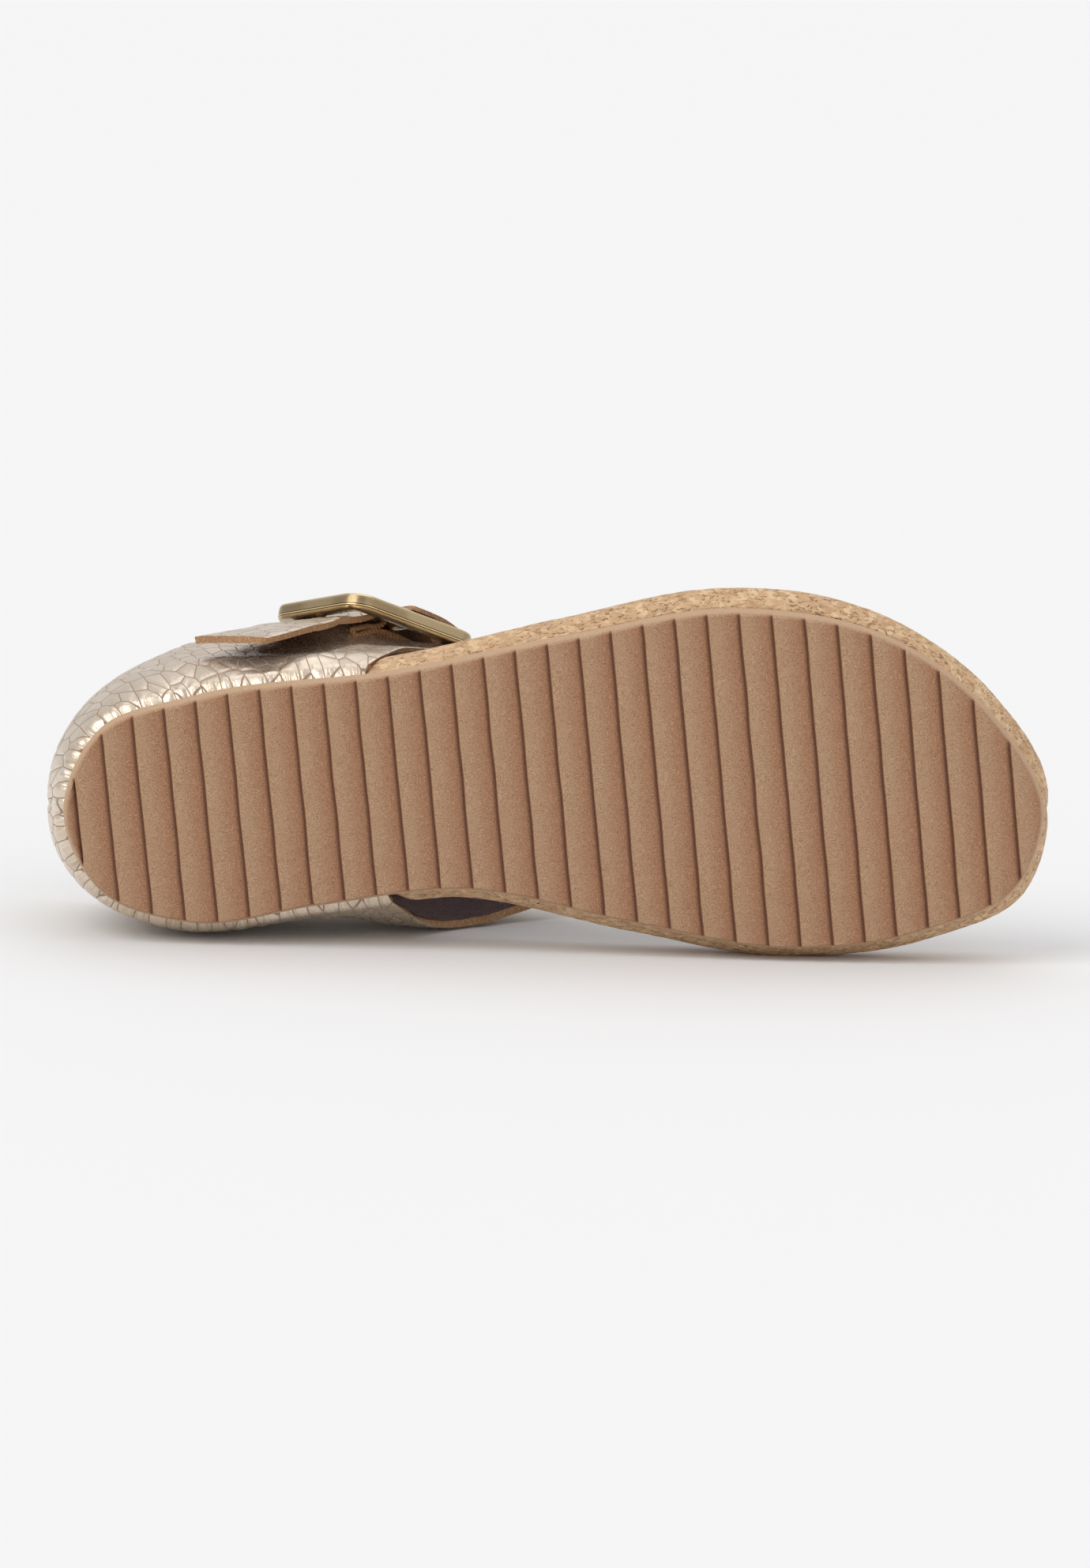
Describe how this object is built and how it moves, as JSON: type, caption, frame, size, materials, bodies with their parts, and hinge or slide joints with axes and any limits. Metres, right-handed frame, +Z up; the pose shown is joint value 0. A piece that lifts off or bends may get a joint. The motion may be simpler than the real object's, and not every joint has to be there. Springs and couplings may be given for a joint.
{
  "type": "closed-back sandal",
  "caption": "Right-foot flatform sandal lying on its inner side: ribbed sole, cork midsole, closed leather heel, toe post strap and buckled instep strap.",
  "frame": {"origin": "on the floor under the middle of the lying shoe's box", "axes": "+X from heel to toe, +Y from tread to instep, +Z up, from the inner side to the outer side"},
  "size_m": [0.2614, 0.1026, 0.096],
  "materials": {
    "foam_rubber": "matt, fine pored, saw-tooth ribs",
    "cork": "ground cork sheet, pale with dark flecks",
    "sock_lining": "soft matt sock lining",
    "gold_leather": "pale gold foil on scale-embossed leather",
    "braided_elastic": "braided tan elastic",
    "antique_brass": "antique brass, polished edges"
  },
  "bodies": {
    "root": {"outsole": "foam_rubber", "midsole": "cork", "insole": "sock_lining", "upper": "gold_leather", "elastic_gore": "braided_elastic", "buckle": "antique_brass"}
  },
  "joints": []
}
